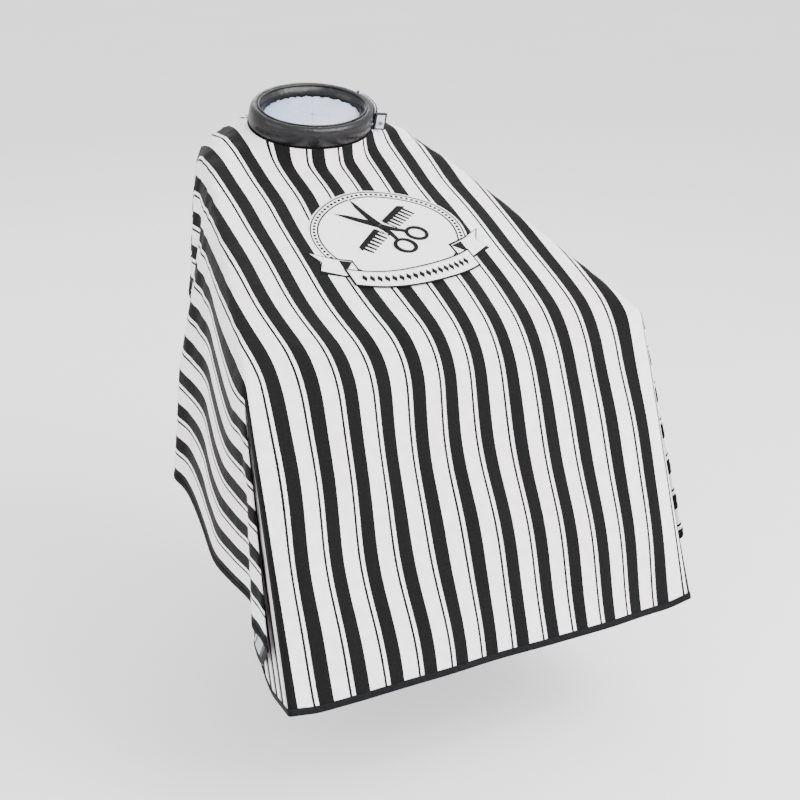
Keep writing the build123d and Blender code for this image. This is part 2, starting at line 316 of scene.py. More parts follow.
def past_corner(u, v):
    """How far a point lies outside the rounded front corners."""
    from_side = abs(u) - (PANEL_HALF_WIDTH - CORNER_ROUND)
    from_front = -v - (PANEL_FRONT - CORNER_ROUND)
    if from_side <= 0 or from_front <= 0:
        return -1.0
    return math.hypot(from_side, from_front) - CORNER_ROUND


def in_neck_hole(u, v, ease=0.0):
    return (u / (NECK_HOLE[0] + ease)) ** 2 + (v / (NECK_HOLE[1] + ease)) ** 2 < 1


def cut_panel():
    """The flat sheet as a mesh, with its neck hole, rounded corners and back slit."""
    columns = round(2 * PANEL_HALF_WIDTH / THREAD_GRID)
    rows = round((PANEL_FRONT + PANEL_BACK) / THREAD_GRID)
    sheet = bmesh.new()
    grid = [[sheet.verts.new((-PANEL_HALF_WIDTH + i * THREAD_GRID, -PANEL_FRONT + j * THREAD_GRID, 0))
             for i in range(columns + 1)] for j in range(rows + 1)]
    for lower, upper in zip(grid, grid[1:]):
        for a, b, c, d in zip(lower, lower[1:], upper[1:], upper):
            middle = (a.co + c.co) / 2
            if not in_neck_hole(middle.x, middle.y) and past_corner(middle.x, middle.y) < 0:
                sheet.faces.new((a, b, c, d))
    bmesh.ops.delete(sheet, geom=[p for p in sheet.verts if not p.link_faces], context="VERTS")
    rim = {p for e in sheet.edges if e.is_boundary for p in e.verts}
    neck = {p for p in rim if in_neck_hole(p.co.x, p.co.y, 0.02)}
    corner = {p for p in rim if past_corner(p.co.x, p.co.y) > -0.9 * THREAD_GRID}
    soft = [p for p in sheet.verts if p not in rim
            and (in_neck_hole(p.co.x, p.co.y, 0.06) or past_corner(p.co.x, p.co.y) > -0.06)]

    def trim(p):
        if p in neck:
            p.co.x, p.co.y = nearest_on_oval(p.co, *NECK_HOLE)
        elif p in corner:
            middle = Vector((math.copysign(PANEL_HALF_WIDTH - CORNER_ROUND, p.co.x),
                             CORNER_ROUND - PANEL_FRONT, 0))
            if abs(p.co.x) > abs(middle.x) and p.co.y < middle.y:
                p.co = middle + (p.co - middle).normalized() * CORNER_ROUND

    for p in neck | corner:
        trim(p)
    for _ in range(12):
        eased = {p: sum((e.other_vert(p).co for e in p.link_edges), Vector()) / len(p.link_edges)
                 for p in [*soft, *neck, *corner]}
        for p, place in eased.items():
            p.co = place
        for p in neck | corner:
            trim(p)
    slit = [e for e in sheet.edges if not e.is_boundary
            and all(p.co.y > 0 and abs(p.co.x - BACK_SLIT) < THREAD_GRID / 2 for p in e.verts)]
    bmesh.ops.split_edges(sheet, edges=slit)
    cloth = bpy.data.meshes.new("striped_panel_cloth")
    sheet.to_mesh(cloth)
    sheet.free()
    flat = cloth.uv_layers.new(name="flat")
    for corner_of_face in cloth.loops:
        flat.data[corner_of_face.index].uv = cloth.vertices[corner_of_face.vertex_index].co.xy
    return cloth


def client_form(name, balls):
    """Part of the client's shape under the cape, as the hull round some balls."""
    form = bmesh.new()
    for centre, radius in balls:
        ball = bmesh.ops.create_icosphere(form, subdivisions=2, radius=radius)["verts"]
        bmesh.ops.translate(form, verts=ball, vec=centre)
    bmesh.ops.convex_hull(form, input=form.verts)
    bmesh.ops.delete(form, geom=[p for p in form.verts if not p.link_faces], context="VERTS")
    mesh = bpy.data.meshes.new(name)
    form.to_mesh(mesh)
    form.free()
    client = bpy.data.objects.new(name, mesh)
    bpy.context.scene.collection.objects.link(client)
    client.modifiers.new("touch", "COLLISION")
    client.collision.thickness_outer = 0.003
    client.collision.cloth_friction = 8
    client.collision.damping = 0.6
    return client


def both_sides(x, y, z, radius):
    return [((side * (x - radius), y, z - radius), radius) for side in (-1, 1)]


SETTLE_FRAMES = 34
ELBOWS_OUT_FRAME = 16
ELBOW_FROM, ELBOW_OUT = 0.17, 0.262
ARM_BALL = 0.035
SHOULDER_BALL, KNEE_BALL = 0.045, 0.024


def settle(panel):
    """Let the arranged cloth settle on the client, whose elbows move out to the chair's arms."""
    shoulders = both_sides(SHOULDER_HALF, 0.003, -0.005, SHOULDER_BALL)
    upper_back = both_sides(0.158, 0.098, -0.009, SHOULDER_BALL)
    knees = both_sides(KNEE.x, -0.466, -0.246, KNEE_BALL)
    body = [client_form("shoulders and lap", shoulders + upper_back + knees)]
    for side in (-1, 1):
        arm = client_form("arm", [((0, 0, 0), ARM_BALL), ((-side * 0.05, -0.01, 0.10), ARM_BALL)])
        for frame_number, out in ((1, ELBOW_FROM), (ELBOWS_OUT_FRAME, ELBOW_OUT)):
            arm.location = (side * out, -0.127, -0.344)
            arm.keyframe_insert("location", frame=frame_number)
        body.append(arm)
    cloth = panel.modifiers.new("settle", "CLOTH")
    threads, touch = cloth.settings, cloth.collision_settings
    threads.quality = 8
    threads.mass = 0.25
    threads.tension_stiffness = threads.compression_stiffness = 20
    threads.shear_stiffness = 10
    threads.bending_stiffness = 0.7
    threads.tension_damping = threads.compression_damping = threads.shear_damping = 5
    threads.bending_damping = 0.5
    threads.air_damping = 1
    threads.vertex_group_mass = "held firm"
    threads.pin_stiffness = 50
    touch.distance_min = 0.003
    touch.collision_quality = 3
    touch.use_self_collision = True
    touch.self_distance_min = 0.003
    touch.self_friction = 5
    cloth.point_cache.frame_start = 1
    cloth.point_cache.frame_end = SETTLE_FRAMES
    for number in range(1, SETTLE_FRAMES + 1):
        bpy.context.scene.frame_set(number)
    take_shape(panel)
    bpy.context.scene.frame_set(1)
    for form in body:
        bpy.data.objects.remove(form, do_unlink=True)


def take_shape(piece):
    """Keep the shape that a piece's modifiers give it, as its mesh."""
    shaped = piece.evaluated_get(bpy.context.evaluated_depsgraph_get())
    mesh = bpy.data.meshes.new_from_object(shaped)
    piece.modifiers.clear()
    piece.data = mesh


panel = bpy.data.objects.new("striped_panel_cloth", cut_panel())
bpy.context.scene.collection.objects.link(panel)
firm = panel.vertex_groups.new(name="held firm")
for point in panel.data.vertices:
    u, v = point.co.xy
    if abs(in_neck_hole(u, v, 1e-5) - in_neck_hole(u, v, -1e-5)):
        point.co = (u, v * math.cos(NECK_TILT) - SEAM_UP * math.sin(NECK_TILT),
                    v * math.sin(NECK_TILT) + SEAM_UP * math.cos(NECK_TILT))
        firm.add([point.index], 1.0, "REPLACE")
    else:
        point.co = arranged(u, v)
        firm.add([point.index], held_firm(u, v), "REPLACE")
settle(panel)
panel.modifiers.new("finer", "SUBSURF")
panel.modifiers["finer"].levels = 1
take_shape(panel)
for face in panel.data.polygons:
    face.use_smooth = True

# the settled sheet, looked up by a point of the flat one
panel_faces = [tuple(face.vertices) for face in panel.data.polygons]
flat_places = {}
flat_corners = panel.data.uv_layers["flat"].data
for corner_of_face in panel.data.loops:
    flat_places[corner_of_face.vertex_index] = flat_corners[corner_of_face.index].uv.copy()
flat_points = [Vector((*flat_places[i], 0)) for i in range(len(panel.data.vertices))]
flat_sheet = BVHTree.FromPolygons(flat_points, panel_faces)
cloth_points = [point.co.copy() for point in panel.data.vertices]
cloth_facing = [Vector(normal.vector) for normal in panel.data.vertex_normals]


def on_cloth(u, v):
    """The place and the outward direction of the settled cloth at a point of the flat sheet."""
    hit, _, index, _ = flat_sheet.find_nearest(Vector((u, v, 0)))
    corners = panel_faces[index]
    shares = poly_3d_calc([flat_points[i] for i in corners], hit)
    place = sum((cloth_points[i] * share for i, share in zip(corners, shares)), Vector())
    facing = sum((cloth_facing[i] * share for i, share in zip(corners, shares)), Vector())
    return place, facing.normalized()


STRIPE_REPEAT = 0.0556
STRIPES_FROM = 0.591        # a repeat starts this far to the wearer's right of the middle
WIDE_BLACK, WIDE_WHITE, HAIR_BLACK = 0.405, 0.43, 0.065
BLACK_YARN, GREY_YARN = (0.0015, 0.0015, 0.0018, 1), (0.004, 0.004, 0.0045, 1)
WHITE_YARN, WARM_WHITE = (0.94, 0.945, 0.96, 1), (0.95, 0.87, 0.90, 1)
REVERSE_BLACKS = (0.05, 0.05, 0.052, 1), (0.09, 0.09, 0.093, 1)
REVERSE_WHITES = (0.50, 0.50, 0.52, 1), (0.44, 0.44, 0.46, 1)


def maths(nodes, links, operation, first, second=None):
    """One arithmetic node, with sockets or numbers for its terms."""
    node = nodes.new("ShaderNodeMath")
    node.operation = operation
    for socket, term in zip(node.inputs, (first, second)):
        if isinstance(term, (int, float)):
            socket.default_value = term
        elif term is not None:
            links.new(term, socket)
    return node.outputs[0]


def colour_mix(nodes, links, first, second, share=None):
    """A colour between two others, by a share that a socket gives, or else one times the other."""
    mix = nodes.new("ShaderNodeMix")
    mix.data_type = "RGBA"
    if share:
        links.new(share, mix.inputs["Factor"])
    else:
        mix.blend_type = "MULTIPLY"
        mix.inputs["Factor"].default_value = 1.0
    links.new(first, mix.inputs["A"])
    links.new(second, mix.inputs["B"])
    return mix.outputs["Result"]


def weave_relief(nodes, links, shader, threads, crinkle):
    """The cloth's threads, as fine ridges both ways, over soft crinkles; gives the flat map."""
    flat = nodes.new("ShaderNodeUVMap")
    flat.uv_map = "flat"
    creased = speckle(nodes, links, crinkle, 0.0, 1.0, None, detail=4.0, vector=flat.outputs["UV"])
    soft = relief(nodes, links, shader, creased, 0.0016, 0.55)
    warp = nodes.new("ShaderNodeTexWave")
    weft = nodes.new("ShaderNodeTexWave")
    weft.bands_direction = "Y"
    for ridges in (warp, weft):
        ridges.inputs["Scale"].default_value = threads
        ridges.inputs["Distortion"].default_value = 0.6
        links.new(flat.outputs["UV"], ridges.inputs["Vector"])
    crossed = maths(nodes, links, "MULTIPLY", warp.outputs["Fac"], weft.outputs["Fac"])
    relief(nodes, links, shader, crossed, 0.0003, 0.5, soft)
    return flat


def striped_cloth(name, blacks, whites, roughness):
    """Woven stripes on the flat sheet: wide black, wide white, hairline black, narrow white."""
    material, nodes, links, shader = node_material(name, roughness, Sheen_Weight=0.03, Sheen_Roughness=0.5,
                                                   Specular_IOR_Level=0.12)
    flat = weave_relief(nodes, links, shader, 90.0, 34.0)
    across = nodes.new("ShaderNodeSeparateXYZ")
    links.new(flat.outputs["UV"], across.inputs["Vector"])
    fray = speckle(nodes, links, 420.0, -0.0005, 0.0005, None, vector=flat.outputs["UV"])
    place = maths(nodes, links, "ADD", across.outputs["X"], STRIPES_FROM)
    place = maths(nodes, links, "ADD", place, fray)
    repeat = maths(nodes, links, "FRACT", maths(nodes, links, "DIVIDE", place, STRIPE_REPEAT))
    stripes = nodes.new("ShaderNodeValToRGB")
    stripes.color_ramp.interpolation = "CONSTANT"
    ends = (0.0, WIDE_BLACK, WIDE_BLACK + WIDE_WHITE, WIDE_BLACK + WIDE_WHITE + HAIR_BLACK)
    for number, (end, white) in enumerate(zip(ends, (0, 1, 0, 1))):
        stop = stripes.color_ramp.elements[number] if number < 2 else stripes.color_ramp.elements.new(end)
        stop.position = end
        stop.color = (white, white, white, 1)
    links.new(repeat, stripes.inputs["Fac"])
    black = speckle(nodes, links, 260.0, blacks[0], blacks[1], None, vector=flat.outputs["UV"])
    tinted = speckle(nodes, links, 5.0, whites[0], whites[1], None, detail=1.0, vector=flat.outputs["UV"])
    dusty = speckle(nodes, links, 60.0, (0.90, 0.90, 0.91, 1), (1, 1, 1, 1), None,
                    vector=flat.outputs["UV"])
    washed = colour_mix(nodes, links, tinted, dusty)
    colour = colour_mix(nodes, links, black, washed, stripes.outputs["Color"])
    links.new(colour, shader.inputs["Base Color"])
    return material


panel.data.materials.clear()
panel.data.materials.append(striped_cloth("striped cotton face", (BLACK_YARN, GREY_YARN),
                                          (WHITE_YARN, WARM_WHITE), 0.78))
panel.data.materials.append(striped_cloth("striped cotton reverse", REVERSE_BLACKS,
                                          REVERSE_WHITES, 0.88))
two_faces = panel.modifiers.new("cloth thickness", "SOLIDIFY")
two_faces.thickness = PANEL_THICK
two_faces.offset = -1
two_faces.material_offset = 1
two_faces.material_offset_rim = 1
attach(panel, "cape")
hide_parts("striped_panel")

# ---- The bindings ----
# Black woven tape folded over every raw edge of the panel and over both edges of the back
# opening, and stitched through close to its inner edge with black thread.
TAPE_WIDE, SLIT_TAPE_WIDE = 0.010, 0.006
TAPE_THICK = 0.0008
STITCH, STITCH_GAP = 0.0026, 0.0012
STITCH_INSET = 0.0018
THREAD_HALF, THREAD_SUNK = 0.00028, 0.0002
ROUTE_STEP = 0.006
HEM_LIFT = 0.0002           # the front and back hems' tape lies over the side hems' ends


def woven_tape():
    material, nodes, links, shader = node_material("black woven tape", 0.8, Specular_IOR_Level=0.12)
    place = nodes.new("ShaderNodeTexCoord")
    speckle(nodes, links, 300.0, (0.003, 0.003, 0.0035, 1), (0.008, 0.008, 0.009, 1),
            shader.inputs["Base Color"])
    ribs = nodes.new("ShaderNodeTexWave")
    ribs.inputs["Scale"].default_value = 160
    ribs.inputs["Distortion"].default_value = 1.5
    links.new(place.outputs["Object"], ribs.inputs["Vector"])
    relief(nodes, links, shader, ribs.outputs["Fac"], 0.0003, 0.5)
    return material


def sewing_thread():
    material, nodes, links, shader = node_material("black sewing thread", 0.6, Specular_IOR_Level=0.25)
    speckle(nodes, links, 900.0, (0.012, 0.012, 0.013, 1), (0.03, 0.03, 0.032, 1),
            shader.inputs["Base Color"])
    return material


tape_cloth, thread_finish = woven_tape(), sewing_thread()


def loft(name, rings, materials, closed=False):
    """A skin through rings of points, capped at both ends unless it is closed."""
    count = len(rings[0])
    points = [p for ring in rings for p in ring]
    pairs = [(i, (i + 1) % len(rings)) for i in range(len(rings) if closed else len(rings) - 1)]
    faces = [(a * count + j, a * count + (j + 1) % count, b * count + (j + 1) % count, b * count + j)
             for a, b in pairs for j in range(count)]
    if not closed:
        faces += [tuple(reversed(range(count))), tuple((len(rings) - 1) * count + j for j in range(count))]
    piece = add_piece(name, points, faces, materials)
    shell = bmesh.new()
    shell.from_mesh(piece.data)
    bmesh.ops.recalc_face_normals(shell, faces=shell.faces)
    shell.to_mesh(piece.data)
    shell.free()
    return piece


def edge_route(start, end, inward_side):
    """Points along a straight edge of the flat sheet, each with the direction into the cloth."""
    steps = max(2, round(math.dist(start, end) / ROUTE_STEP))
    run, rise = end[0] - start[0], end[1] - start[1]
    return [((start[0] + run * i / steps, start[1] + rise * i / steps), inward_side)
            for i in range(steps + 1)]


def corner_route(side, from_angle, to_angle):
    """Points round part of a front corner of the flat sheet."""
    middle = (side * (PANEL_HALF_WIDTH - CORNER_ROUND), CORNER_ROUND - PANEL_FRONT)
    steps = round(CORNER_ROUND * abs(to_angle - from_angle) / ROUTE_STEP)
    route = []
    for i in range(steps + 1):
        angle = from_angle + (to_angle - from_angle) * i / steps
        out = (side * math.cos(angle), math.sin(angle))
        at = (middle[0] + out[0] * CORNER_ROUND, middle[1] + out[1] * CORNER_ROUND)
        route.append((at, (-out[0], -out[1])))
    return route


def tape_ring(at, inward_side, wide, lift):
    """The folded tape's section at one point of an edge."""
    edge, _ = on_cloth(*at)
    near, facing = on_cloth(at[0] + inward_side[0] * 0.003, at[1] + inward_side[1] * 0.003)
    out = (edge - near).normalized()
    top, under = TAPE_THICK + lift, -PANEL_THICK - TAPE_THICK - lift
    ring = []
    for inset, height in ((wide, 0.0), (wide - 0.0004, top), (wide / 2, top + 0.0001), (0.0006, top),
                          (-0.0007, top / 2), (-0.0011, (top + under) / 2), (-0.0007, under + top / 2),
                          (0.0006, under), (wide / 2, under - 0.0001), (wide - 0.0004, under),
                          (wide, -PANEL_THICK)):
        if inset > 0:
            place, square = on_cloth(at[0] + inward_side[0] * inset, at[1] + inward_side[1] * inset)
            ring.append(place + square * height)
        else:
            ring.append(edge - out * inset + facing * height)
    return ring


def spindle(points, faces, ends, waist):
    """Add one stitch: a thread that runs between two ends and through four points round its waist."""
    first = len(points)
    points += [*ends, *waist]
    for i in range(4):
        one, other = first + 2 + i, first + 2 + (i + 1) % 4
        faces += [(first, one, other), (first + 1, other, one)]


def stitch_row(name, points, faces, body):
    """A row of stitches as one piece of black thread."""
    stitches = add_piece(name, points, faces, [thread_finish])
    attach(stitches, body)
    return stitches


def sew(name, route, inset, lift):
    """A row of short stitches beside an edge, each a small spindle of thread."""
    points, faces = [], []
    line = [Vector((at[0] + side[0] * inset, at[1] + side[1] * inset)) for at, side in route]
    walked, due = 0.0, 0.002
    for start, end in zip(line, line[1:]):
        step = (end - start).length
        while due < walked + step:
            middle = start.lerp(end, (due - walked) / step)
            place, facing = on_cloth(*middle)
            ahead, _ = on_cloth(*(middle + (end - start).normalized() * 0.002))
            along = (ahead - place).normalized()
            beside = facing.cross(along).normalized()
            place = place + facing * lift
            ends = [place - along * STITCH / 2 - facing * THREAD_SUNK,
                    place + along * STITCH / 2 - facing * THREAD_SUNK]
            waist = [place + beside * THREAD_HALF, place + facing * THREAD_HALF,
                     place - beside * THREAD_HALF, place - facing * THREAD_SUNK]
            spindle(points, faces, ends, waist)
            due += STITCH + STITCH_GAP
        walked += step
    return stitch_row(name, points, faces, "cape")


def bind(name, route, wide=TAPE_WIDE, lift=0.0):
    """The tape along one edge, with its stitching; it stands for the frame's piece of that name."""
    tape = loft(f"{name}_tape", [tape_ring(at, side, wide, lift) for at, side in route], [tape_cloth])
    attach(tape, "cape")
    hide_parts(name)
    stitches = sew(f"{name}_stitching", route, wide - STITCH_INSET, TAPE_THICK + lift)
    return [tape, stitches]


corner_starts = -PANEL_FRONT + CORNER_ROUND
corner_split = math.radians(-52)    # where the side hem's tape ends and the front hem's begins
half_front = PANEL_HALF_WIDTH - CORNER_ROUND
left_hem = (corner_route(1, corner_split, 0)
            + edge_route((PANEL_HALF_WIDTH, corner_starts),
                         (PANEL_HALF_WIDTH, PANEL_BACK), (-1, 0))[1:])
right_hem = [((-at[0], at[1]), (-side[0], side[1])) for at, side in left_hem]
front_hem = (corner_route(-1, corner_split, -math.pi / 2)
             + edge_route((-half_front, -PANEL_FRONT), (half_front, -PANEL_FRONT), (0, 1))[1:-1]
             + corner_route(1, -math.pi / 2, corner_split))
slit_left, slit_right = BACK_SLIT + 0.0002, BACK_SLIT - 0.0002
neck_reach = NECK_HOLE[1] * math.sqrt(1 - (BACK_SLIT / NECK_HOLE[0]) ** 2)
slit_starts = neck_reach + 0.004
back_left = edge_route((slit_left, PANEL_BACK), (PANEL_HALF_WIDTH, PANEL_BACK), (0, -1))
back_right = edge_route((-PANEL_HALF_WIDTH, PANEL_BACK), (slit_right, PANEL_BACK), (0, -1))
opening_left = edge_route((slit_left, slit_starts), (slit_left, PANEL_BACK), (1, 0))
opening_right = edge_route((slit_right, slit_starts), (slit_right, PANEL_BACK), (-1, 0))
on_panel = bind("front_hem_binding", front_hem, lift=HEM_LIFT)
on_panel += bind("left_side_hem_binding", left_hem)
on_panel += bind("right_side_hem_binding", right_hem)
on_panel += bind("back_hem_binding_left", back_left, lift=HEM_LIFT)
on_panel += bind("back_hem_binding_right", back_right, lift=HEM_LIFT)
on_panel += bind("back_opening_binding_left", opening_left, SLIT_TAPE_WIDE)
on_panel += bind("back_opening_binding_right", opening_right, SLIT_TAPE_WIDE)

# ---- The emblem ----
# A plain oval badge screen-printed on the chest: white ink with a black rope border, scissors
# crossed over a comb, and a ribbon with a row of diamonds. Each ink is its own thin layer.
EMBLEM_AT = (0.015, -0.288)
EMBLEM_HALF = (0.132, 0.116)
INK = 0.0004
INK_MESH = 0.0055           # the ink's longest edge, short enough to follow the cloth
RIBBON_DROP = -0.084        # the ribbon's ends, below the emblem's middle
RIBBON_BOW = 0.024
RIBBON_REACH, RIBBON_HALF = 0.106, 0.0175
RIBBON_OUTLINE = 0.0034


def print_ink(name, first, second):
    material, nodes, links, shader = node_material(name, 0.7, Specular_IOR_Level=0.12)
    speckle(nodes, links, 180.0, first, second, shader.inputs["Base Color"])
    grain = speckle(nodes, links, 700.0, 0.0, 1.0, None)
    relief(nodes, links, shader, grain, 0.0002, 0.35)
    return material


white_ink = print_ink("white print ink", (0.84, 0.845, 0.87, 1), (0.90, 0.90, 0.915, 1))
black_ink = print_ink("black print ink", (0.002, 0.002, 0.0025, 1), (0.006, 0.006, 0.0065, 1))


def ink_layer(name, outlines, lift, ink):
    """Outlines filled with ink, cut fine enough to follow the cloth, and laid on it."""
    film = bmesh.new()
    for outline in outlines:
        film.faces.new([film.verts.new((x, y, 0)) for x, y in outline])
    bmesh.ops.triangulate(film, faces=film.faces)
    for _ in range(7):
        long_edges = [e for e in film.edges if e.calc_length() > INK_MESH]
        if not long_edges:
            break
        bmesh.ops.subdivide_edges(film, edges=long_edges, cuts=1)
        bmesh.ops.triangulate(film, faces=[f for f in film.faces if len(f.verts) > 3])
    for point in film.verts:
        place, facing = on_cloth(EMBLEM_AT[0] + point.co.x, EMBLEM_AT[1] + point.co.y)
        point.co = place + facing * lift
    mesh = bpy.data.meshes.new(name)
    film.to_mesh(mesh)
    film.free()
    mesh.materials.append(ink)
    for face in mesh.polygons:
        face.use_smooth = True
    layer = bpy.data.objects.new(name, mesh)
    bpy.context.scene.collection.objects.link(layer)
    depth = layer.modifiers.new("ink depth", "SOLIDIFY")
    depth.thickness = INK
    depth.offset = -1
    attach(layer, "cape")
    return layer


def oval(half_width, half_depth, start=0.0, end=1.0, count=120):
    """Points round part of an oval, as turns from its right-hand end."""
    angles = [2 * math.pi * (start + (end - start) * i / count) for i in range(count + 1)]
    return [(half_width * math.cos(a), half_depth * math.sin(a)) for a in angles]


def oval_bands(inset, wide, pieces, share=1.0):
    """A ring inside the emblem's edge, cut into short pieces with gaps between them."""
    bands = []
    for i in range(pieces):
        span = (i / pieces, (i + share) / pieces)
        count = max(2, round(120 * share / pieces))
        outer = oval(EMBLEM_HALF[0] - inset, EMBLEM_HALF[1] - inset, *span, count)
        inner = oval(EMBLEM_HALF[0] - inset - wide, EMBLEM_HALF[1] - inset - wide, *span, count)
        bands.append(outer + inner[::-1])
    return bands


def placed(outline, turn_by, at, grow=1.0):
    """An outline turned, scaled and moved to its place in the emblem."""
    c, s = math.cos(turn_by) * grow, math.sin(turn_by) * grow
    return [(at[0] + x * c - y * s, at[1] + x * s + y * c) for x, y in outline]


def ring_pieces(centre, outer, inner):
    """A flat ring as quarter pieces."""
    pieces = []
    for quarter in range(4):
        span = (quarter / 4, (quarter + 1) / 4, 8)
        outside = [(centre[0] + x * outer, centre[1] + y * outer) for x, y in oval(1, 1, *span)]
        inside = [(centre[0] + x * inner, centre[1] + y * inner) for x, y in oval(1, 1.15, *span)]
        pieces.append(outside + inside[::-1])
    return pieces


BLADES_OPEN = math.radians(17)


def half_scissors(side):
    """One blade with its shank and finger ring; the pivot is at the origin."""
    blade = [(-0.0045, -0.004), (0.0045, -0.006), (0.0052, 0.018), (0.0035, 0.044),
             (-0.0004, 0.060), (-0.0022, 0.044), (-0.0035, 0.018)]
    shank = [(-0.004, -0.004), (0.004, -0.002), (0.0035, -0.018), (0.0048, -0.031),
             (0.0005, -0.033), (-0.0035, -0.018)]
    parts = [[(x * side, y) for x, y in outline] for outline in (blade, shank)]
    parts += ring_pieces((0.0035 * side, -0.044), 0.0145, 0.0088)
    return [placed(part, BLADES_OPEN * side, (0, 0)) for part in parts]


def comb():
    """A barber's comb: a back with a tapered end, and its row of teeth."""
    back = [(-0.056, 0.004), (-0.052, 0.0105), (0.052, 0.0125), (0.058, 0.004)]
    teeth = []
    for i in range(16):
        x = -0.0525 + i * 0.0068
        wide, long = 0.0040, 0.0125 + 0.0003 * i
        teeth.append([(x, 0.0045), (x + wide, 0.0045),
                      (x + wide * 0.8, 0.004 - long), (x + wide * 0.2, 0.004 - long)])
    return [back, *teeth]


def ribbon_level(x):
    """The height of the ribbon's middle line, which bows down at its centre."""
    return RIBBON_DROP - RIBBON_BOW * (1 - (x / RIBBON_REACH) ** 2)


def ribbon_band(grow):
    """The ribbon's middle."""
    reach, half = RIBBON_REACH + grow, RIBBON_HALF + grow
    xs = [-reach + 2 * reach * i / 24 for i in range(25)]
    return [(x, ribbon_level(x) + half) for x in xs] + [(x, ribbon_level(x) - half) for x in reversed(xs)]


def ribbon_tail(side, grow):
    """The end of the ribbon, which folds behind the middle and out to a notched end."""
    tail = [(0.088 - grow, -0.080 - grow), (0.112, -0.078 - grow), (0.146 + grow, -0.060 - grow * 1.6),
            (0.136 + grow * 0.6, -0.042), (0.148 + grow * 1.4, -0.020 + grow), (0.118, -0.037 + grow),
            (0.088 - grow, -0.048 + grow)]
    return [(x * side, y) for x, y in (tail if side > 0 else reversed(tail))]


EMBLEM_GROW = 1.32
SCISSORS_AT, SCISSORS_TURN = (-0.002, 0.022), math.radians(38)
COMB_AT, COMB_TURN = (0.004, 0.014), math.radians(38)
blade_halo = [(-0.0075, -0.026), (0.0075, -0.026), (0.0085, 0.02), (0, 0.066), (-0.0085, 0.02)]
scissor_parts = [placed(part, SCISSORS_TURN, SCISSORS_AT, EMBLEM_GROW)
                 for side in (-1, 1) for part in half_scissors(side)]
halo_parts = [placed(placed(blade_halo, BLADES_OPEN * side, (0, 0)),
                     SCISSORS_TURN, SCISSORS_AT, EMBLEM_GROW) for side in (-1, 1)]
comb_parts = [placed(part, COMB_TURN, COMB_AT, EMBLEM_GROW) for part in comb()]
badge = ink_layer("emblem_white_oval", [oval(*EMBLEM_HALF)[:-1]], INK, white_ink)
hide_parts("emblem_oval_print")
border = ink_layer("emblem_rope_border",
                   oval_bands(0.003, 0.0022, 8) + oval_bands(0.0078, 0.0046, 84, 0.56)
                   + oval_bands(0.0150, 0.0026, 8), 2 * INK, black_ink)
comb_print = ink_layer("emblem_comb", comb_parts, 2 * INK, black_ink)
halo = ink_layer("emblem_scissors_outline", halo_parts, 3 * INK, white_ink)
scissors = ink_layer("emblem_scissors", scissor_parts, 4 * INK, black_ink)
pivot = ink_layer("emblem_scissors_pivot", [placed(oval(0.0026, 0.0026, count=16)[:-1], 0, SCISSORS_AT)],
                  5 * INK, white_ink)
tail_edges = ink_layer("emblem_ribbon_tail_edges",
                       [ribbon_tail(side, RIBBON_OUTLINE) for side in (-1, 1)], 2 * INK, black_ink)
tails = ink_layer("emblem_ribbon_tails", [ribbon_tail(side, 0) for side in (-1, 1)], 3 * INK, white_ink)
folds = ink_layer("emblem_ribbon_folds",
                  [[(side * x, y) for x, y in ((0.088, -0.050), (0.108, -0.043), (0.108, -0.070))][::side]
                   for side in (-1, 1)], 4 * INK, black_ink)
ribbon_edge = ink_layer("emblem_ribbon_edge", [ribbon_band(RIBBON_OUTLINE)], 5 * INK, black_ink)
ribbon = ink_layer("emblem_ribbon", [ribbon_band(0)], 6 * INK, white_ink)
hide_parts("emblem_ribbon_print")
diamond = [(-0.0042, 0), (0, -0.0085), (0.0042, 0), (0, 0.0085)]
diamonds = [placed(diamond, 0, (x / 1000, ribbon_level(x / 1000))) for x in range(-88, 89, 11)]
ornament = ink_layer("emblem_ribbon_diamonds", diamonds, 9 * INK, black_ink)
on_panel += [badge, border, comb_print, halo, scissors, pivot,
             tail_edges, tails, folds, ribbon_edge, ribbon, ornament]

# ---- The neckband ----
# A padded collar of glossy black vinyl over foam, lined with soft pale blue fleece that closes
# in around the neck; the fleece's pale colour across the opening is partly painted reflection.
# A thin cord edges its top, and the seam with the panel is taped.
BAND_HALF = (0.111, 0.083)
BAND_RAISED = 0.014         # the band's foot, above the middle of the neck opening
BAND_STEPS = 144
PIPING_RADIUS = 0.0017
FLEECE_GATHERS = 26
BAND_STITCH_PITCH = 0.0042


def in_band(polar, outward, height):
    """A point round the neckband: polar angle, distance out from its outer oval, and height."""
    c, s = math.cos(polar), math.sin(polar)
    reach = 1 / math.hypot(c / (BAND_HALF[0] + outward), s / (BAND_HALF[1] + outward))
    x, y, up = reach * c, reach * s, height + BAND_RAISED
    return Vector((x, y * math.cos(NECK_TILT) - up * math.sin(NECK_TILT),
                   y * math.sin(NECK_TILT) + up * math.cos(NECK_TILT)))


def band_facing(polar):
    """Outward direction square to the band."""
    x, y = math.cos(polar) / BAND_HALF[0], math.sin(polar) / BAND_HALF[1]
    out = Vector((x, y)).normalized()
    return Vector((out.x, out.y * math.cos(NECK_TILT), out.y * math.sin(NECK_TILT)))


band_up = Vector((0, -math.sin(NECK_TILT), math.cos(NECK_TILT)))


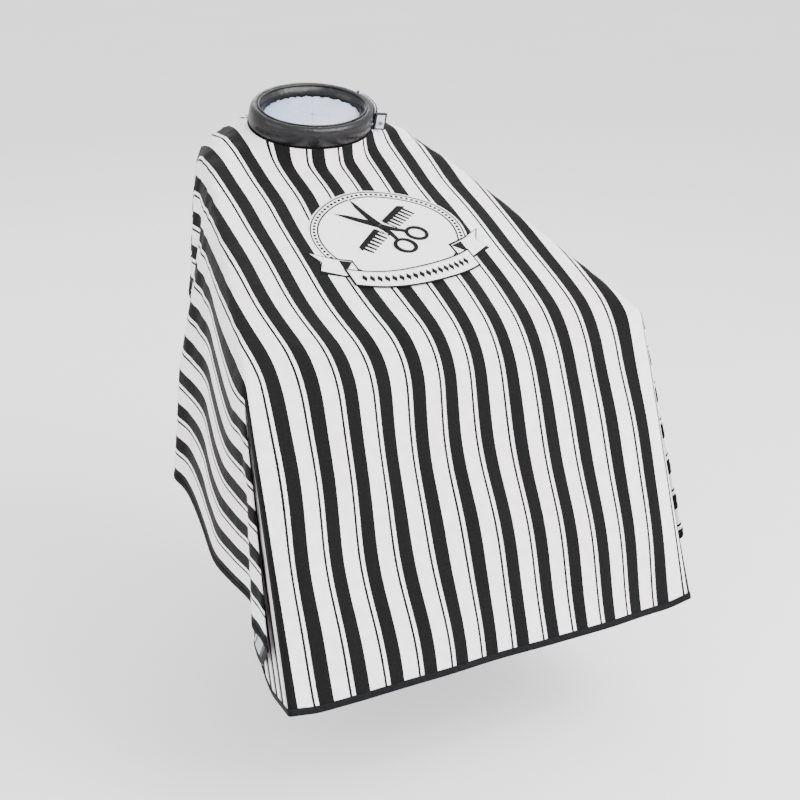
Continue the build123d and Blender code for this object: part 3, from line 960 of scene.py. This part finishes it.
def glossy_vinyl():
    material, nodes, links, shader = node_material("glossy black vinyl", 0.3, Specular_IOR_Level=0.3,
                                                   Coat_Weight=0.12, Coat_Roughness=0.1)
    speckle(nodes, links, 40.0, (0.002, 0.002, 0.0025, 1), (0.005, 0.005, 0.0055, 1),
            shader.inputs["Base Color"])
    speckle(nodes, links, 90.0, 0.24, 0.4, shader.inputs["Roughness"])
    pebble = nodes.new("ShaderNodeTexVoronoi")
    pebble.inputs["Scale"].default_value = 900
    place = nodes.new("ShaderNodeTexCoord")
    links.new(place.outputs["Object"], pebble.inputs["Vector"])
    puckers = speckle(nodes, links, 70.0, 0.0, 1.0, None)
    soft = relief(nodes, links, shader, puckers, 0.0012, 0.35)
    relief(nodes, links, shader, pebble.outputs["Distance"], 0.0002, 0.3, soft)
    return material


def blue_fleece():
    material, nodes, links, shader = node_material("pale blue fleece", 0.95, Sheen_Weight=0.8,
                                                   Sheen_Roughness=0.4, Specular_IOR_Level=0.1)
    tufts = speckle(nodes, links, 420.0, (0.80, 0.82, 0.88, 1), (1.0, 1.0, 1.0, 1), None, detail=6.0)
    # the fleece's pale blue, varied at random toward lavender white; where it fills the neck opening this
    # pale colour is partly painted reflection
    dye_and_painted_reflection = speckle(nodes, links, 9.0, (0.50, 0.64, 0.90, 1), (0.80, 0.80, 0.90, 1), None, detail=2.0)
    links.new(colour_mix(nodes, links, dye_and_painted_reflection, tufts), shader.inputs["Base Color"])
    pile = speckle(nodes, links, 650.0, 0.0, 1.0, None, detail=8.0)
    relief(nodes, links, shader, pile, 0.0015, 0.9)
    return material


vinyl, fleece = glossy_vinyl(), blue_fleece()


def padded_collar():
    """The cover: a soft rounded wall with slight puckers from the stitching at its foot."""
    section = ((-0.0030, 0.0022), (-0.0012, 0.0050), (-0.0002, 0.0110), (0.0002, 0.0190),
               (-0.0002, 0.0270), (-0.0016, 0.0330), (-0.0044, 0.0368), (-0.0085, 0.0380),
               (-0.0125, 0.0372), (-0.0165, 0.0345), (-0.0205, 0.0300), (-0.0232, 0.0240),
               (-0.0240, 0.0170), (-0.0222, 0.0100), (-0.0180, 0.0050), (-0.0125, 0.0022))
    rings = []
    for i in range(BAND_STEPS):
        polar = 2 * math.pi * i / BAND_STEPS
        ring = []
        for number, (outward, height) in enumerate(section):
            soft = math.sin(math.pi * number / (len(section) - 1))
            pucker = 0.0004 * noise.noise((9 * math.cos(polar), 9 * math.sin(polar), number * 0.35)) * soft
            ring.append(in_band(polar, outward - abs(pucker) * 1.5, height + pucker))
        rings.append(ring)
    return loft("neckband_padded_cover", rings, [vinyl], closed=True)


def fleece_collar():
    """The lining: fluffy cloth from inside the cover, drawn almost closed in the neck opening, where its
    pale face is partly painted reflection.
    """
    section = ((0.99, 0.0180), (0.95, 0.0205), (0.88, 0.0220), (0.80, 0.0226), (0.70, 0.0228),
               (0.60, 0.0228), (0.50, 0.0226), (0.40, 0.0224), (0.30, 0.0221), (0.20, 0.0218),
               (0.10, 0.0214), (0.03, 0.0205), (0.03, 0.0180), (0.20, 0.0175), (0.50, 0.0165),
               (0.80, 0.0150), (0.96, 0.0140))
    rings = []
    for i in range(BAND_STEPS * 2):
        polar = math.pi * i / BAND_STEPS
        ring = []
        for share, height in section:
            gather = 0.0009 * share * math.sin(FLEECE_GATHERS * polar + 1.5 * math.sin(3 * polar))
            edge = in_band(polar, -0.0215, height + gather)
            middle = band_up * (height + gather + BAND_RAISED)
            place = middle.lerp(edge, share)
            ring.append(place + band_up * 0.0016 * noise.fractal(place * 260, 1.0, 2.0, 4))
        rings.append(ring)
    return loft("neckband_fleece_lining", rings, [fleece], closed=True)


def top_piping():
    """The cord that follows the band's top edge all the way round."""
    rings = []
    for i in range(BAND_STEPS):
        polar = 2 * math.pi * i / BAND_STEPS
        centre = in_band(polar, -0.0148, 0.0372)
        rings.append([centre + (band_facing(polar) * math.cos(a) + band_up * math.sin(a)) * PIPING_RADIUS
                      for a in (2 * math.pi * j / 10 for j in range(10))])
    return loft("neckband_piping", rings, [vinyl], closed=True)


collar = padded_collar()
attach(collar, "cape")
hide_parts("neckband_cover", "neckband_padding")
lining = fleece_collar()
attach(lining, "cape")
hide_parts("neckband_lining")
piping = top_piping()
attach(piping, "cape")
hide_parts("neckband_top_piping")


def cad_finish(name, material):
    """Give a piece of the frame a better finish."""
    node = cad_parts[name]
    for slot in node.material_slots:
        slot.material = material
    if not node.material_slots:
        node.data.materials.append(material)


cad_finish("neck_seam_tape", tape_cloth)


def band_stitches(name, outward, height, body="cape", span=(0.0, 2 * math.pi)):
    """Stitches round the band at one height."""
    points, faces = [], []
    around = (BAND_HALF[0] + BAND_HALF[1]) / 2 * (span[1] - span[0])
    count = round(around / BAND_STITCH_PITCH)
    for i in range(count):
        polar = span[0] + (span[1] - span[0]) * (i + 0.5) / count
        place, facing = in_band(polar, outward, height), band_facing(polar)
        along = facing.cross(band_up).normalized()
        waist = [place + band_up * 0.0003, place + facing * 0.0004,
                 place - band_up * 0.0003, place - facing * 0.0003]
        spindle(points, faces, [place - along * 0.0015, place + along * 0.0015], waist)
    return stitch_row(name, points, faces, body)


band_stitches("neckband_foot_stitching", -0.0010, 0.0052)

# ---- The closure lap ----
# The free end of the collar: a padded vinyl strap on the client's left, which folds open about
# the rolled edge at its rear and snaps flat against the outside of the band with two press studs.
LAP_FROM, LAP_TO = math.radians(15.6), math.radians(-15.8)
LAP_INSIDE, LAP_OUTSIDE = 0.0021, 0.0056
LAP_LOW, LAP_HIGH = 0.004, 0.035
LAP_STEPS = 26


def strap_ring(polar, shrink):
    """The strap's rounded section at one angle, drawn in at its ends."""
    middle_out, middle_high = (LAP_INSIDE + LAP_OUTSIDE) / 2, (LAP_LOW + LAP_HIGH) / 2
    half_out = (LAP_OUTSIDE - LAP_INSIDE) / 2 * shrink
    half_high = (LAP_HIGH - LAP_LOW) / 2 - 0.0018 * (1 - shrink)
    ring = []
    for j in range(28):
        a = 2 * math.pi * j / 28
        c, s = math.cos(a), math.sin(a)
        out = math.copysign(abs(c) ** 0.7, c) * half_out
        high = math.copysign(abs(s) ** 0.25, s) * half_high
        ring.append(in_band(polar, middle_out + out, middle_high + high))
    return ring


lap_rings = []
for i in range(LAP_STEPS + 1):
    along_lap = i / LAP_STEPS
    from_end = min(along_lap, 1 - along_lap) * LAP_STEPS
    polar = LAP_FROM + (LAP_TO - LAP_FROM) * along_lap
    lap_rings.append(strap_ring(polar, min(1.0, 0.5 + 0.25 * from_end)))
strap = loft("closure_lap_strap", lap_rings, [vinyl])
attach(strap, "closure_lap")
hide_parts("lap_cover", "lap_padding")
cad_finish("lap_lining", fleece)
cad_finish("lap_fold_roll", vinyl)
for place, height in (("low", LAP_LOW + 0.0035), ("high", LAP_HIGH - 0.0035)):
    band_stitches(f"lap_stitching_{place}", LAP_OUTSIDE - 0.0002, height, "closure_lap",
                  (LAP_TO + 0.02, LAP_FROM - 0.02))

# ---- The pull tab ----
# A short stiff tab at the end of the lap, faced in pale blue, bound in black and folded about a
# roll, so that fingers can pull the studs apart.
cad_finish("tab_binding", vinyl)
cad_finish("tab_cover", vinyl)
cad_finish("tab_fold_roll", vinyl)


def tab_facing():
    material, nodes, links, shader = node_material("pale blue tab facing", 0.7, Sheen_Weight=0.3)
    speckle(nodes, links, 120.0, (0.56, 0.57, 0.68, 1), (0.68, 0.68, 0.78, 1), shader.inputs["Base Color"])
    grain = speckle(nodes, links, 800.0, 0.0, 1.0, None)
    relief(nodes, links, shader, grain, 0.0003, 0.5)
    return material


cad_finish("tab_lining", tab_facing())

# ---- The press studs ----
# Pressed brass with a nickel finish: domed caps and sockets in the lap and the tab, and studs on
# the band.


def nickel():
    material, nodes, links, shader = node_material("brushed nickel", 0.3, Metallic=1.0)
    speckle(nodes, links, 500.0, (0.36, 0.36, 0.38, 1), (0.5, 0.5, 0.52, 1), shader.inputs["Base Color"])
    speckle(nodes, links, 300.0, 0.22, 0.42, shader.inputs["Roughness"])
    scratches = speckle(nodes, links, 1400.0, 0.0, 1.0, None)
    relief(nodes, links, shader, scratches, 0.0001, 0.3)
    return material


stud_metal = nickel()
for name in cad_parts:
    if "snap" in name or "stud" in name:
        cad_finish(name, stud_metal)
